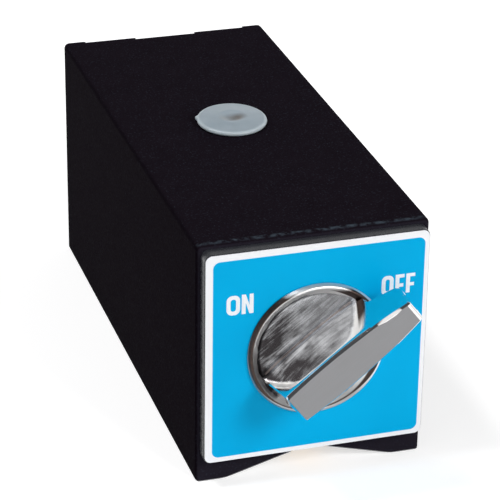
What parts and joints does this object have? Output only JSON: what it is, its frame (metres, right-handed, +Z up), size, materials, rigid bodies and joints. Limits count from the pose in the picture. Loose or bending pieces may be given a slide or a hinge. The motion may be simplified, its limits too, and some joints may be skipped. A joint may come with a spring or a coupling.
{
  "type": "switchable magnetic base",
  "caption": "Rectangular magnetic base with a V-grooved sole, a turning knob with a blade-shaped grip on its labelled front plate, and a plugged tapped hole for a rod on top.",
  "frame": {"origin": "centre of the whole base's footprint, at the level of the sole", "axes": "+Z up out of the top face, -Y out of the front plate along the knob's axis, +X to the right as seen from the front"},
  "size_m": [0.05, 0.133, 0.0565],
  "materials": {
    "block_paint": "fine textured black paint on iron",
    "brass_strip": "ground flush",
    "plate_enamel": "dark grey, semi-gloss",
    "label_print": "printed blue with a white border",
    "screw_steel": "blackened",
    "bearing_bronze": "turned",
    "seal_rubber": "matte",
    "washer_nylon": "natural nylon",
    "hard_steel": "ground",
    "plug_plastic": "pale translucent moulding",
    "knob_chrome": "plated die casting",
    "cap_brass": "turned",
    "soft_iron": "turned",
    "magnet_ferrite": "sintered"
  },
  "bodies": {
    "base": {"pole_left": "block_paint", "pole_right": "block_paint", "top_strip": "block_paint", "low_strip": "brass_strip", "front_plate": "plate_enamel", "label": "label_print", "front_plate_screws": "screw_steel", "front_bearing": "bearing_bronze", "shaft_seal": "seal_rubber", "thrust_washer": "washer_nylon", "stop_pin": "hard_steel", "rear_bearing": "bearing_bronze", "rear_plate": "plate_enamel", "rear_plate_screws": "screw_steel"},
    "rotor": {"knob": "knob_chrome", "knob_shaft": "hard_steel", "cross_pin": "hard_steel", "rotor_front_cap": "cap_brass", "rotor_shoe_upper": "soft_iron", "rotor_shoe_lower": "soft_iron", "rotor_magnets": "magnet_ferrite", "rotor_fillers": "cap_brass", "rotor_rear_cap": "cap_brass", "rotor_front_screws": "screw_steel", "rotor_rear_screws": "screw_steel"},
    "plug": {"rod_plug": "plug_plastic"}
  },
  "joints": [
    {"name": "knob_turn", "type": "hinge", "parent": "base", "child": "rotor", "pos_m": [0, -0.0505, 0.03], "axis": [0, -1, 0], "range_deg": [0, 105]},
    {"name": "plug_lift", "type": "slide", "parent": "base", "child": "plug", "axis": [0, 0, 1], "range_m": [0, 0.06]}
  ]
}
